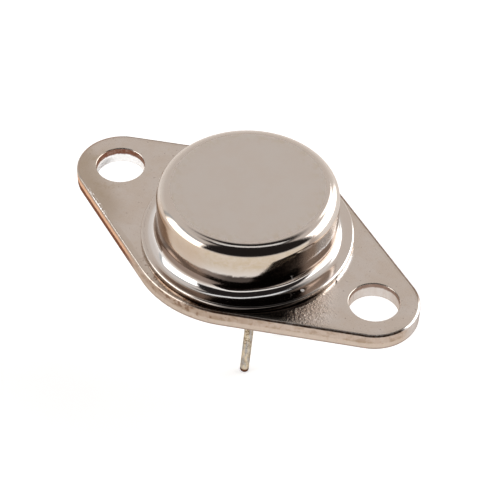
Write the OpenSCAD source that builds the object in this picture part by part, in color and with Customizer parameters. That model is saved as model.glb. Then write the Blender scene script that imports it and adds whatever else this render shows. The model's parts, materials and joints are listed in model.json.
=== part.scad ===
// Thyristor in a small metal can with a diamond-shaped mounting flange.
// A stamped steel base plate carries a welded, drawn steel cap, and two leads pass
// through glass seals in the plate. The case is the anode, the leads are cathode and gate.
// Millimetres. The origin is the centre of the base plate's underside, midway between
// the mounting holes. +Z points to the cap, and +X to the mounting hole nearer the leads.

/* [Base plate] */
// Distance between the centres of the mounting holes
hole_spacing = 24.38; // [23.8:0.02:26]
// Diameter of each mounting hole
hole_d = 3.82; // [3.2:0.02:4.2]
// How far the centre of each end round lies inside the centre of its hole
end_inset = 0.12; // [0:0.02:0.3]
// Radius of the plate's two end rounds
end_radius = 3.55; // [3.2:0.05:4.2]
// Bare rim of the plate outside the cap's brim, across the plate
plate_rim = 0.59; // [0.5:0.01:1.2]
// Thickness of the base plate
plate_thickness = 1.4; // [1.2:0.05:2]
// Radius that stamping leaves on the plate's upper outer edge
edge_roll = 0.16; // [0.05:0.01:0.3]
// Radius that punching leaves on the upper edge of each mounting hole
hole_roll = 0.09; // [0.03:0.01:0.2]

/* [Cap] */
// Outer diameter of the cap's wall
cap_d = 13.92; // [12.6:0.02:14.6]
// Height of the cap's top above the base plate
cap_height = 5.1; // [4.6:0.05:6.4]
// Thickness of the sheet that the cap is drawn from
cap_sheet = 0.5; // [0.35:0.05:0.6]
// Outer radius of the shoulder between wall and top
shoulder_radius = 1.06; // [0.8:0.02:1.6]
// Radius of the hollow curve between wall and brim
foot_radius = 0.68; // [0.4:0.02:0.8]
// Flat width of the brim outside that curve, which is welded to the base plate
brim_land = 0.52; // [0.4:0.02:0.8]
// Radius on the brim's upper outer edge
brim_edge_radius = 0.24; // [0.05:0.01:0.3]
// Height of the weld ridge, which holds the rest of the brim clear of the plate
weld_gap = 0.05; // [0.02:0.01:0.1]
// How far the weld ridge lies inside the brim's edge
weld_ridge_inset = 0.22; // [0.1:0.02:0.3]
// How far the cap was welded off the plate's centre, along X
cap_shift_x = 0.45; // [0:0.01:0.5]
// How far the cap was welded off the plate's centre, along Y
cap_shift_y = -0.12; // [-0.2:0.01:0.2]

/* [Leads] */
// Diameter of each lead
lead_d = 0.71; // [0.6:0.01:0.9]
// Distance between the two leads
lead_spacing = 5.08; // [4.6:0.02:5.6]
// Distance of the line of leads from the plate's centre, along X
lead_offset = 2.54; // [2.3:0.02:2.9]
// Length of each lead below the base plate
lead_length = 10.6; // [9:0.1:13]
// Length of the chamfer at each lead's tip
lead_tip_chamfer = 0.12; // [0.05:0.01:0.2]
// Angle by which the cathode lead is bent out of true below its seal
cathode_lean_angle = 4; // [0:0.5:10]
// Angle by which the gate lead is bent out of true below its seal
gate_lean_angle = 1; // [0:0.5:10]
// Direction that a bent lead leans to, counted from +X
lean_direction_angle = 216; // [0:1:359]
// Radius of the bend in a lead that is out of true, at the lead's axis
bend_radius = 2; // [1:0.1:4]
// Straight length of the cathode lead below the base plate, before its bend starts
cathode_bend_drop = 6; // [0.3:0.1:8]
// Straight length of the gate lead below the base plate, before its bend starts
gate_bend_drop = 0.6; // [0.3:0.1:8]
// Diameter of the flat head on each lead's inner end
head_d = 1.3; // [1.1:0.05:1.6]
// Thickness of that head
head_thickness = 0.25; // [0.15:0.01:0.4]
// Height of the heads' tops above the die's top
head_rise = 0.3; // [0.1:0.05:0.8]

/* [Glass seals] */
// Diameter of the hole in the plate that each glass seal fills
seal_d = 2.2; // [1.9:0.05:2.5]
// Depth of the glass's surface below the plate's faces at the seal's rim
seal_recess = 0.15; // [0.1:0.01:0.25]
// Height to which the glass climbs the lead above its rim
seal_climb = 0.1; // [0.02:0.01:0.1]

/* [Heat path] */
// Bare width of the copper disc outside the molybdenum disc
spreader_land = 0.6; // [0.3:0.05:0.8]
// Thickness of the copper disc that carries heat to the plate
spreader_thickness = 0.9; // [0.5:0.05:1.2]
// Width of the molybdenum disc outside the die
molybdenum_land = 0.6; // [0.45:0.05:0.8]
// Thickness of the molybdenum disc that takes up the die's expansion
molybdenum_thickness = 0.5; // [0.3:0.05:0.7]
// Clear space between the copper disc and the glass seals
seal_clearance = 0.4; // [0.2:0.05:0.6]
// Thickness of the braze and of each solder layer
solder_thickness = 0.05; // [0.03:0.01:0.08]

/* [Thyristor die] */
// Diameter of the silicon die at its lower face
die_d = 4; // [3.4:0.05:4.4]
// Thickness of the silicon die
die_thickness = 0.28; // [0.2:0.01:0.4]
// Width of the bevel ground on the die's edge
die_bevel = 0.12; // [0.05:0.01:0.2]
// Height of the die's edge left below the bevel
die_edge = 0.08; // [0.03:0.01:0.15]
// Bare rim on the die's top, outside its metal contacts
contact_margin = 0.55; // [0.5:0.05:0.7]
// Width of the gap between the gate contact and the cathode contact
contact_gap = 0.2; // [0.12:0.02:0.3]
// How far the protective coating covers the die's top
coating_cover = 0.1; // [0.05:0.01:0.15]
// Thickness of the protective coating on the die's top
coating_thickness = 0.06; // [0.03:0.01:0.08]
// Bare rim of the molybdenum disc outside the coating
coating_setback = 0.25; // [0.1:0.05:0.4]

/* [Contact clips] */
// Thickness of the sheet that the cathode clip is cut from
cathode_clip_sheet = 0.2; // [0.1:0.01:0.25]
// Width of the cathode clip's end on its lead
cathode_pad = 1.2; // [0.9:0.05:1.4]
// Thickness of the sheet that the gate clip is cut from
gate_clip_sheet = 0.12; // [0.08:0.01:0.2]
// Width of the gate clip's end on its lead
gate_pad = 0.9; // [0.7:0.05:1.2]
// Width of the gate clip's foot on the die
gate_foot = 0.55; // [0.4:0.01:0.6]
// Height of each clip's arch above its higher end
clip_arch = 0.45; // [0.3:0.05:0.8]
// Length over which each clip climbs to its arch
clip_climb = 0.8; // [0.5:0.05:1]

/* [Hidden] */
$fn = 96;
// Facets on the small rounded edges of the base plate
edge_fn = 24;
// Steps in each curved climb of a clip
climb_steps = 10;
// How far a cutting shape runs past the face that it opens
over = 1;

// Cap
cap_r = cap_d / 2;
brim_r = cap_r + foot_radius + brim_land;
brim_top = weld_gap + cap_sheet;

// Plate outline: three rounds joined by straight flanks. A flank lies flank_inset inside
// the rounds' common tangent, so that it meets each round in a clean crossing
middle_radius = brim_r + plate_rim;
end_x = hole_spacing / 2 - end_inset;
flank_angle = acos((middle_radius - end_radius) / end_x);
flank_length = end_x * sin(flank_angle);
flank_inset = 0.002;
// Half width of the core that fills the plate between its rounds and flanks
core_y = middle_radius - end_radius / 2;

// Leads and seals
lead_y = lead_spacing / 2;
seal_r = seal_d / 2;

// Stack on the plate, from the plate's top up
die_r = die_d / 2;
molybdenum_r = die_r + molybdenum_land;
spreader_r = molybdenum_r + spreader_land;
spreader_z = plate_thickness + solder_thickness;
molybdenum_z = spreader_z + spreader_thickness + solder_thickness;
die_z = molybdenum_z + molybdenum_thickness + solder_thickness;
die_top = die_z + die_thickness;
head_top = die_top + head_rise;
// The stack stands clear of both seals by seal_clearance
stack_x = lead_offset - sqrt(pow(spreader_r + seal_r + seal_clearance, 2) - pow(lead_y, 2));

// Contacts on the die: the gate's square foot lies in the corner towards the gate
// lead, and the cathode's square foot fills the opposite corner up to contact_gap
contact_corner = (die_r - contact_margin) * sin(45);
cathode_foot = 2 * contact_corner - gate_foot - contact_gap;
foot_z = die_top + solder_thickness;
pad_z = head_top + solder_thickness;

// Section of the plate from x = 0 to its edge at x = reach, with the rolled upper edge
module plate_section(reach) {
    square([reach - edge_roll, plate_thickness]);
    square([reach, plate_thickness - edge_roll]);
    translate([reach - edge_roll, plate_thickness - edge_roll]) circle(edge_roll, $fn = edge_fn);
}

// Round of the plate with its rolled edge
module plate_round(radius) {
    rotate_extrude() intersection() {
        plate_section(radius);
        square([radius, plate_thickness]);
    }
}

// Straight flank from one end round to the broad middle
module plate_flank() {
    translate([end_x, 0, 0]) rotate([0, 0, flank_angle]) translate([0, flank_length, 0])
        rotate([90, 0, 0]) linear_extrude(flank_length) plate_section(end_radius - flank_inset);
}

// The four copies of a shape that is the same in all quarters of the plate
module in_each_quarter() {
    for (flip_x = [0, 1], flip_y = [0, 1])
        mirror([flip_x, 0, 0]) mirror([0, flip_y, 0]) children();
}

// Cutter for a punched mounting hole with its rolled upper edge
module mounting_hole() {
    translate([0, 0, -over]) cylinder(d = hole_d, h = plate_thickness + 2 * over);
    rotate_extrude() difference() {
        translate([0, plate_thickness - hole_roll]) square([hole_d / 2 + hole_roll, hole_roll + over]);
        translate([hole_d / 2 + hole_roll, plate_thickness - hole_roll])
            circle(hole_roll, $fn = edge_fn);
    }
}

module base_plate() {
    color("#b5a99b") difference() {
        union() {
            plate_round(middle_radius);
            for (side = [-1, 1]) translate([side * end_x, 0, 0]) plate_round(end_radius);
            in_each_quarter() plate_flank();
            linear_extrude(plate_thickness)
                polygon([[end_x, 0], [0, core_y], [-end_x, 0], [0, -core_y]]);
        }
        for (side = [-1, 1]) translate([side * hole_spacing / 2, 0, 0]) mounting_hole();
        for (side = [-1, 1]) translate([lead_offset, side * lead_y, -over])
            cylinder(d = seal_d, h = plate_thickness + 2 * over);
    }
}

// Half section of a round can with a rounded shoulder
module can_section(radius, height, corner) {
    square([radius - corner, height]);
    square([radius, height - corner]);
    translate([radius - corner, height - corner]) circle(corner);
}

// Spandrel at a foot: the space between wall, floor and an arc of the given radius
module spandrel(radius) {
    difference() {
        square(radius);
        translate([radius, radius]) circle(radius);
    }
}

// Drawn cap: a can with a brim, open below, with the weld ridge under the brim
module cap() {
    color("#b8aa9e") translate([cap_shift_x, cap_shift_y, plate_thickness]) rotate_extrude()
        difference() {
            union() {
                translate([0, weld_gap]) can_section(cap_r, cap_height - weld_gap, shoulder_radius);
                translate([0, weld_gap]) can_section(brim_r, cap_sheet, brim_edge_radius);
                translate([cap_r, brim_top]) spandrel(foot_radius);
                translate([cap_r + foot_radius, 0])
                    square([brim_land - weld_ridge_inset, weld_gap + cap_sheet / 2]);
            }
            translate([0, -over]) square([cap_r - cap_sheet, over + brim_top + foot_radius]);
            can_section(cap_r - cap_sheet, cap_height - cap_sheet, shoulder_radius - cap_sheet);
            translate([cap_r - cap_sheet, weld_gap]) spandrel(foot_radius + cap_sheet);
        }
}

// Round bar that ends in a chamfered tip, pointing down from z = 0
module lead_tip(length) {
    translate([0, 0, lead_tip_chamfer - length]) cylinder(d = lead_d, h = length - lead_tip_chamfer);
    translate([0, 0, -length])
        cylinder(d1 = lead_d - 2 * lead_tip_chamfer, d2 = lead_d, h = lead_tip_chamfer);
}

// Bend out of true: an arc of bar that turns by lean about a centre at x = bend_radius,
// and the straight tip beyond it
module leaning_end(lean, drop) {
    arc_length = bend_radius * lean * PI / 180;
    translate([bend_radius, 0, 0]) {
        rotate([90, 0, 0]) rotate([0, 0, 180])
            rotate_extrude(angle = lean) translate([bend_radius, 0]) circle(d = lead_d);
        rotate([0, -lean, 0]) translate([-bend_radius, 0, 0])
            lead_tip(lead_length - drop - arc_length);
    }
}

// Lead with a flat head inside the can. side is -1 for the cathode and 1 for the gate
module lead(side, lean, drop) {
    translate([lead_offset, side * lead_y, 0]) {
        translate([0, 0, head_top - head_thickness]) cylinder(d = head_d, h = head_thickness);
        translate([0, 0, -drop]) cylinder(d = lead_d, h = head_top + drop);
        translate([0, 0, -drop]) rotate([0, 0, lean_direction_angle])
            if (lean > 0) leaning_end(lean, drop);
            else lead_tip(lead_length - drop);
    }
}

module cathode_lead() {
    color("#b39a6b") lead(-1, cathode_lean_angle, cathode_bend_drop);
}

module gate_lead() {
    color("#b39a6b") lead(1, gate_lean_angle, gate_bend_drop);
}

// Glass bead fused into the plate around a lead, with a climbing surface at both faces
module seal(side) {
    lead_r = lead_d / 2;
    low = seal_recess;
    high = plate_thickness - seal_recess;
    translate([lead_offset, side * lead_y, 0]) rotate_extrude() polygon([
        [lead_r, low - seal_climb], [seal_r, low], [seal_r, high], [lead_r, high + seal_climb]
    ]);
}

module cathode_seal() {
    color("#3f5a4c") seal(-1);
}

module gate_seal() {
    color("#3f5a4c") seal(1);
}

// Disc of the stack on the plate, with its underside at the given height
module stack_disc(radius, height, z) {
    translate([stack_x, 0, z]) cylinder(r = radius, h = height);
}

module spreader_braze() {
    color("#c9b27a") stack_disc(spreader_r, solder_thickness, plate_thickness);
}

module heat_spreader() {
    color("#b06a43") stack_disc(spreader_r, spreader_thickness, spreader_z);
}

module molybdenum_solder() {
    color("#8d8f92") stack_disc(molybdenum_r, solder_thickness, molybdenum_z - solder_thickness);
}

module molybdenum_disc() {
    color("#7d7f84") stack_disc(molybdenum_r, molybdenum_thickness, molybdenum_z);
}

module die_solder() {
    color("#8d8f92") stack_disc(die_r, solder_thickness, die_z - solder_thickness);
}

// Half section of the silicon die with its bevelled edge
module die_section() {
    polygon([
        [0, 0], [die_r, 0], [die_r, die_edge], [die_r - die_bevel, die_thickness], [0, die_thickness]
    ]);
}

module thyristor_die() {
    color("#4a4f5a") translate([stack_x, 0, die_z]) rotate_extrude() die_section();
}

// Ring of silicone varnish over the die's edge, down to the molybdenum disc
module junction_coating() {
    inner = die_r - die_bevel - coating_cover;
    outer = molybdenum_r - coating_setback;
    color("#c8bfa8") translate([stack_x, 0, die_z]) rotate_extrude() difference() {
        polygon([
            [inner, -solder_thickness], [outer, -solder_thickness],
            [outer, 0], [die_r, die_thickness + coating_thickness],
            [inner, die_thickness + coating_thickness]
        ]);
        die_section();
        translate([0, -solder_thickness]) square([die_r, solder_thickness]);
    }
}

// Square layer of solder under a clip's foot, between the given corners
module foot_solder(corner, width) {
    translate([stack_x + corner, corner, die_top]) cube([width, width, solder_thickness]);
}

module cathode_foot_solder() {
    color("#8d8f92") foot_solder(-contact_corner, cathode_foot);
}

module gate_foot_solder() {
    color("#8d8f92") foot_solder(contact_corner - gate_foot, gate_foot);
}

// Point on one face of a clip's climb. The centre line climbs by rise over run as half a
// cosine wave, and the face lies half a sheet off it. step runs from 0 to climb_steps
function climb_point(start, run, rise, sheet, face, step) =
    let (turn = 180 * step / climb_steps,
         slope = atan(rise * PI / (2 * run) * sin(turn)))
    start + [run * step / climb_steps, rise * (1 - cos(turn)) / 2]
        + face * sheet / 2 * [-sin(slope), cos(slope)];

// One face of a clip from its foot over the arch to its pad. face is -1 below and 1 above
function clip_face(foot_end, pad_start, low, high, crest, run, sheet, face) = concat(
    [for (step = [0 : climb_steps])
        climb_point([foot_end, low], run, crest - low, sheet, face, step)],
    [for (step = [0 : climb_steps])
        climb_point([pad_start - run, crest], run, high - crest, sheet, face, step)]
);

// Contact clip cut and bent from sheet: a square foot on the die, an arch, and a square
// pad on the lead's head. corner is the foot's low corner from the die's centre
module clip(side, corner, foot, pad, sheet) {
    foot_start = stack_x + corner;
    foot_end = foot_start + foot;
    pad_start = lead_offset - pad / 2;
    pad_end = lead_offset + pad / 2;
    low = foot_z + sheet / 2;
    high = pad_z + sheet / 2;
    crest = max(low, high) + clip_arch;
    run = min(clip_climb, (pad_start - foot_end) / 2);
    under = clip_face(foot_end, pad_start, low, high, crest, run, sheet, -1);
    above = clip_face(foot_end, pad_start, low, high, crest, run, sheet, 1);
    last = len(above) - 1;
    pad_y = side * lead_y;
    intersection() {
        translate([0, over + lead_y + pad, 0]) rotate([90, 0, 0])
            linear_extrude(2 * (over + lead_y + pad)) polygon(concat(
                [[foot_start, foot_z + sheet], [foot_start, foot_z]], under,
                [[pad_end, pad_z], [pad_end, pad_z + sheet]],
                [for (i = [0 : last]) above[last - i]]
            ));
        linear_extrude(crest + over) polygon([
            [foot_start, corner], [foot_end, corner],
            [pad_start, pad_y - pad / 2], [pad_end, pad_y - pad / 2],
            [pad_end, pad_y + pad / 2], [pad_start, pad_y + pad / 2],
            [foot_end, corner + foot], [foot_start, corner + foot]
        ]);
    }
}

module cathode_clip() {
    color("#b9b2a6") clip(-1, -contact_corner, cathode_foot, cathode_pad, cathode_clip_sheet);
}

module gate_clip() {
    color("#b9b2a6") clip(1, contact_corner - gate_foot, gate_foot, gate_pad, gate_clip_sheet);
}

// Layer of solder between a lead's head and the pad of its clip
module head_solder(side, pad) {
    translate([lead_offset, side * lead_y, head_top])
        cylinder(d = min(head_d, pad), h = solder_thickness);
}

module cathode_head_solder() {
    color("#8d8f92") head_solder(-1, cathode_pad);
}

module gate_head_solder() {
    color("#8d8f92") head_solder(1, gate_pad);
}

base_plate();
cap();
cathode_lead();
gate_lead();
cathode_seal();
gate_seal();
spreader_braze();
heat_spreader();
molybdenum_solder();
molybdenum_disc();
die_solder();
thyristor_die();
junction_coating();
cathode_foot_solder();
gate_foot_solder();
cathode_clip();
gate_clip();
cathode_head_solder();
gate_head_solder();
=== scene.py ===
"""Visual model of a thyristor in a small metal can with a diamond-shaped flange.

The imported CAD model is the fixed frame. The flange, the cap, the leads and the glass
seals are rebuilt here as finer closed meshes over their CAD nodes, and the pieces inside
the can keep their CAD meshes. The cap departs from its CAD solid by up to 0.3 mm, at its
foot. Sizes in this script are millimetres, turned into metres when a mesh is made. Every
material is made of procedural nodes.
"""
import json
import math

import bpy
import numpy as np
from mathutils import Matrix, Vector, geometry


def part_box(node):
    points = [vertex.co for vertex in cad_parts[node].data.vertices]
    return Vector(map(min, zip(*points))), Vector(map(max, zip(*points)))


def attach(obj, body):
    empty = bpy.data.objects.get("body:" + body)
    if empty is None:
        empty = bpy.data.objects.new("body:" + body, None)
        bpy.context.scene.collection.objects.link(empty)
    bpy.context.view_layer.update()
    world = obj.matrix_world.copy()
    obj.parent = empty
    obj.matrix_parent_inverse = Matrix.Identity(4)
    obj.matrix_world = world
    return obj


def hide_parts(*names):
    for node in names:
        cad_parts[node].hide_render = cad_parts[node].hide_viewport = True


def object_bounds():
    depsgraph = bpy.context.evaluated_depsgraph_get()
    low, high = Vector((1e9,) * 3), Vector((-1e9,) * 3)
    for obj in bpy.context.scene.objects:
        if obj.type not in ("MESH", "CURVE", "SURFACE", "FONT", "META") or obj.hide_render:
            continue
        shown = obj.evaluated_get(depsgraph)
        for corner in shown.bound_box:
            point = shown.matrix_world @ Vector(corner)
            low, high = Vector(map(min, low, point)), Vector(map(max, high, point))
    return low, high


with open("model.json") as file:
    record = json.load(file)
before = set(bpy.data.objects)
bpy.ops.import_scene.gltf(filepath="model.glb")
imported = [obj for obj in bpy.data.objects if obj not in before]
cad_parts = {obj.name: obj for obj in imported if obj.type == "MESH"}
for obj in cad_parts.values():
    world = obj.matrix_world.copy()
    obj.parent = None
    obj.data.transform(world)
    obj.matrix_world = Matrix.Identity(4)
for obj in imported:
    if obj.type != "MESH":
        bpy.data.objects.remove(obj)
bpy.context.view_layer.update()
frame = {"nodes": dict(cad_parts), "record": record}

MM = 0.001

# ---------------------------------------------------------------- sizes from the frame


def box_mm(node):
    """Lowest and highest corner of a CAD node, in millimetres."""
    low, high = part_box(node)
    return np.array(low) / MM, np.array(high) / MM


MOUNTS = {mount["name"]: mount for mount in frame["record"]["mounts"]}

PLATE_LOW, PLATE_HIGH = box_mm("base_plate")
PLATE_TOP = PLATE_HIGH[2]
PLATE_REACH = PLATE_HIGH[0]
MIDDLE_RADIUS = PLATE_HIGH[1]
HOLE_X = abs(MOUNTS["mounting_hole_near"]["pos_m"][0]) / MM
HOLE_RADIUS = MOUNTS["mounting_hole_near"]["dims"]["r_mm"]

CAP_LOW, CAP_HIGH = box_mm("cap")
CAP_CENTRE = (CAP_LOW + CAP_HIGH)[:2] / 2
BRIM_RADIUS = (CAP_HIGH[0] - CAP_LOW[0]) / 2
CAP_TOP = CAP_HIGH[2]

SEAL_BOXES = {name: box_mm(name) for name in ("cathode_seal", "gate_seal")}
LEAD_RADIUS = MOUNTS["cathode_pin"]["dims"]["r_mm"]

# Sizes that the frame does not state, as in the CAD source
END_RADIUS = 3.55
HOLE_ROLL = 0.09
CAP_SHEET = 0.5
SHOULDER_RADIUS = 1.06
WELD_GAP = 0.05
WELD_RIDGE_INSET = 0.22
HEAD_RADIUS = 0.65
HEAD_THICKNESS = 0.25
LEAD_LENGTH = 10.6
BEND_RADIUS = 2.0
BEND_DROP = {"cathode": 6.0, "gate": 0.6}

# Sizes that differ a little from the CAD source's, to look like the photograph
EDGE_ROLL = 0.2
CAP_RADIUS = 6.94
FOOT_HEIGHT = 0.50
FOOT_REACH = 0.76
BRIM_EDGE_RADIUS = 0.13
TIP_RADIUS = 0.17

# ---------------------------------------------------------------- mesh helpers


def add_piece(name, node, slot, points, faces):
    """Make a smooth piece from points in millimetres, in place of a CAD node."""
    mesh = bpy.data.meshes.new(name)
    mesh.from_pydata((np.asarray(points) * MM).tolist(), [], [list(f) for f in faces])
    mesh.validate()
    mesh.shade_smooth()
    piece = bpy.data.objects.new(name, mesh)
    bpy.context.scene.collection.objects.link(piece)
    piece.data.materials.append(METALS[slot])
    weighted = piece.modifiers.new("face weighted normals", "WEIGHTED_NORMAL")
    weighted.keep_sharp = True
    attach(piece, "root")
    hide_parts(node)
    return piece


def arc(centre, radius, start, end, steps):
    """Points of an arc in the (r, z) plane, angles in degrees from +r."""
    angles = np.radians(np.linspace(start, end, steps + 1))
    return [(centre[0] + radius * math.cos(a), centre[1] + radius * math.sin(a)) for a in angles]


def line(start, end, steps):
    """Points of a straight line, without its first point."""
    fractions = np.linspace(0, 1, steps + 1)[1:]
    return [tuple(np.array(start) * (1 - f) + np.array(end) * f) for f in fractions]


def smooth(value, start, end):
    """0 at start, 1 at end, and a smooth step between."""
    t = np.clip((value - start) / (end - start), 0, 1)
    return t * t * (3 - 2 * t)


def bridge(first, second, count):
    """Quads between two closed rings of the same count, by their first indices."""
    return [
        (first + i, first + (i + 1) % count, second + (i + 1) % count, second + i)
        for i in range(count)
    ]


def lathe(profile, steps):
    """Turn a profile of (r, z) points about the Z axis.

    A profile whose first and last points lie on the axis gives a closed solid, and any
    other profile is a closed loop that gives a ring. The profile runs clockwise seen with
    r to the right and z up, from the top of the axis outwards.
    """
    on_axis = profile[0][0] == 0 and profile[-1][0] == 0
    turned = profile[1:-1] if on_axis else profile
    angles = np.linspace(0, 2 * math.pi, steps, endpoint=False)
    rings = [
        np.column_stack([r * np.cos(angles), r * np.sin(angles), np.full(steps, z)])
        for r, z in turned
    ]
    points = np.vstack(rings)
    faces = []
    for k in range(len(turned) - 1):
        faces += bridge((k + 1) * steps, k * steps, steps)
    if not on_axis:
        faces += bridge(0, (len(turned) - 1) * steps, steps)
        return points, faces
    top, bottom = len(points), len(points) + 1
    points = np.vstack([points, [0, 0, profile[0][1]], [0, 0, profile[-1][1]]])
    last = (len(turned) - 1) * steps
    faces += [(top, i, (i + 1) % steps) for i in range(steps)]
    faces += [(bottom, last + (i + 1) % steps, last + i) for i in range(steps)]
    return points, faces


# ---------------------------------------------------------------- base plate

END_X = PLATE_REACH - END_RADIUS
FLANK_ANGLE = math.acos((MIDDLE_RADIUS - END_RADIUS) / END_X)
TORN_TOP = PLATE_TOP * 0.42
OUTLINE_STEP = 0.1
FILL_STEP = 0.35
BORE_STEPS = 120


def plate_outline():
    """Points and outward normals of the plate's outline, counterclockwise."""
    rounds = [
        (END_X, END_RADIUS, -FLANK_ANGLE, FLANK_ANGLE),
        (0, MIDDLE_RADIUS, FLANK_ANGLE, math.pi - FLANK_ANGLE),
        (-END_X, END_RADIUS, math.pi - FLANK_ANGLE, math.pi + FLANK_ANGLE),
        (0, MIDDLE_RADIUS, math.pi + FLANK_ANGLE, 2 * math.pi - FLANK_ANGLE),
    ]
    points, normals = [], []
    for k, (x, radius, start, end) in enumerate(rounds):
        steps = round((end - start) * radius / OUTLINE_STEP)
        for a in np.linspace(start, end, steps + 1):
            normal = np.array([math.cos(a), math.sin(a)])
            points.append(np.array([x, 0]) + radius * normal)
            normals.append(normal)
        next_x, next_radius, *_ = rounds[(k + 1) % 4]
        corner = np.array([next_x, 0]) + next_radius * normals[-1]
        flank = corner - points[-1]
        steps = round(np.linalg.norm(flank) / OUTLINE_STEP)
        first = points[-1]
        for i in range(1, steps):
            points.append(first + flank * i / steps)
            normals.append(normals[-1])
    return np.array(points), np.array(normals)


def circle(centre, radius, steps):
    """Points of a circle in the plane, counterclockwise."""
    angles = np.linspace(0, 2 * math.pi, steps, endpoint=False)
    return np.column_stack([centre[0] + radius * np.cos(angles),
                            centre[1] + radius * np.sin(angles)])


def inside_outline(points, inset):
    """Whether points lie inside the plate's outline, by at least the inset."""
    x, y = np.abs(points[:, 0]), np.abs(points[:, 1])
    flank = x * math.cos(FLANK_ANGLE) + y * math.sin(FLANK_ANGLE) < MIDDLE_RADIUS - inset
    end_side = (x - END_X) * math.sin(FLANK_ANGLE) > y * math.cos(FLANK_ANGLE)
    end = np.hypot(x - END_X, y) < END_RADIUS - inset
    middle = np.hypot(x, y) < MIDDLE_RADIUS - inset
    middle_side = x * math.sin(FLANK_ANGLE) < y * math.cos(FLANK_ANGLE)
    return np.where(end_side, end, np.where(middle_side, middle, flank))


def fill_face(loops, bores, upward):
    """Triangles of a flat face between an outer loop and bore loops.

    loops are (first index, points in the plane), the outer one first, and bores are the
    bores' centres and radii. Returns the added inner points and the triangles, whose
    indices below zero count the added points from -1 down.
    """
    grid = np.arange(-PLATE_REACH, PLATE_REACH, FILL_STEP)
    extra = np.array([(x + (j % 2) * FILL_STEP / 2, y) for j, y in enumerate(grid) for x in grid])
    keep = inside_outline(extra, EDGE_ROLL + FILL_STEP)
    for centre, radius in bores:
        keep &= np.hypot(*(extra - centre).T) > radius + FILL_STEP * 0.7
    extra = extra[keep]
    flat, constraints, index, owner = [], [], [], []
    for k, (first, loop) in enumerate(loops):
        start = len(flat)
        flat += [Vector(p) for p in loop]
        index += [first + i for i in range(len(loop))]
        owner += [k] * len(loop)
        constraints += [(start + i, start + (i + 1) % len(loop)) for i in range(len(loop))]
    flat += [Vector(p) for p in extra]
    index += [-1 - i for i in range(len(extra))]
    owner += [0] * len(extra)
    _, _, triangles, origins, _, _ = geometry.delaunay_2d_cdt(flat, constraints, [], 1, 1e-7)
    faces = []
    for triangle in triangles:
        sources = [origins[i][0] for i in triangle]
        owners = {owner[i] for i in sources}
        if len(owners) == 1 and owners != {0}:
            continue  # the triangle lies inside a bore
        corners = [index[i] for i in sources]
        faces.append(corners if upward else corners[::-1])
    return extra, faces


def build_base_plate():
    """Stamped plate: rolled upper edges, burnished and torn side faces, punched bores."""
    outline, normals = plate_outline()
    count = len(outline)
    edge = [(EDGE_ROLL - p[0], PLATE_TOP - EDGE_ROLL + p[1])
            for p in arc((0, 0), EDGE_ROLL, 90, 0, 10)]
    edge += [(0, z) for z in np.linspace(PLATE_TOP - EDGE_ROLL, TORN_TOP, 5)[1:]]
    # Below the burnished band the metal tore a little inwards, and its lower edge is eased
    edge += [(0.012, TORN_TOP - 0.05), (0.016, TORN_TOP / 2),
             (0.016, 0.06), (0.03, 0.016), (0.055, 0)]
    points, faces = [], []
    for inset, z in edge:
        ring = outline - normals * inset
        points.append(np.column_stack([ring, np.full(count, z)]))
    for k in range(len(edge) - 1):
        faces += bridge((k + 1) * count, k * count, count)
    top_loops = [(0, points[0][:, :2])]
    low_loops = [((len(edge) - 1) * count, points[-1][:, :2])]
    total = len(edge) * count
    tops, lows = [], []
    hole = [(HOLE_RADIUS + HOLE_ROLL + p[0], PLATE_TOP - HOLE_ROLL + p[1])
            for p in arc((0, 0), HOLE_ROLL, 90, 180, 8)]
    hole += [(HOLE_RADIUS, z) for z in np.linspace(PLATE_TOP - HOLE_ROLL, TORN_TOP, 5)[1:]]
    hole += [(HOLE_RADIUS + 0.014, TORN_TOP - 0.06), (HOLE_RADIUS + 0.02, TORN_TOP / 2),
             (HOLE_RADIUS + 0.02, 0.04), (HOLE_RADIUS + 0.045, 0)]
    bore = [(SEAL_RADIUS + 0.03, PLATE_TOP), (SEAL_RADIUS, PLATE_TOP - 0.03),
            (SEAL_RADIUS, PLATE_TOP / 2), (SEAL_RADIUS, 0.03), (SEAL_RADIUS + 0.03, 0)]
    walls = [((side * HOLE_X, 0), hole) for side in (-1, 1)]
    walls += [(tuple((low + high)[:2] / 2), bore) for low, high in SEAL_BOXES.values()]
    for centre, wall in walls:
        for k, (radius, z) in enumerate(wall):
            ring = circle(centre, radius, BORE_STEPS)
            if k == 0:
                top_loops.append((total, ring))
                tops.append((centre, radius))
            if k == len(wall) - 1:
                low_loops.append((total, ring))
                lows.append((centre, radius))
            else:
                faces += bridge(total, total + BORE_STEPS, BORE_STEPS)
            points.append(np.column_stack([ring, np.full(BORE_STEPS, z)]))
            total += BORE_STEPS
    levels = ((top_loops, tops, PLATE_TOP, True), (low_loops, lows, 0, False))
    for loops, bores, z, upward in levels:
        extra, flat = fill_face(loops, bores, upward)
        faces += [[total - 1 - i if i < 0 else i for i in face] for face in flat]
        points.append(np.column_stack([extra, np.full(len(extra), z)]))
        total += len(extra)
    add_piece("flange", "base_plate", "plated_base", np.vstack(points), faces)


# ---------------------------------------------------------------- cap

CAP_STEPS = 288
# The cap's dents. Their angles are in degrees, counterclockwise from +X
# The wall draws in by NECK from NECK_TOP down to the foot
NECK = 0.03
NECK_TOP = 4.05
# The wall leans in below PRESS_TOP at the front right. The press comes and goes between
# the angles PRESS_START and PRESS_END, and fades out on the foot between two radii
PRESS_LEAN = 3.2
PRESS_TOP = 5.35
PRESS_SPAN = 1.7
PRESS_START = (-62, -42)
PRESS_END = (16, -10)
PRESS_FADE = (7.9, 7.5)
# The foot is stretched upwards at the front left, by this share of its height
TALL_SHARE = 0.75
TALL_START = (-128, -108)
TALL_END = (-62, -84)
TALL_TOP = 4.2
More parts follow.
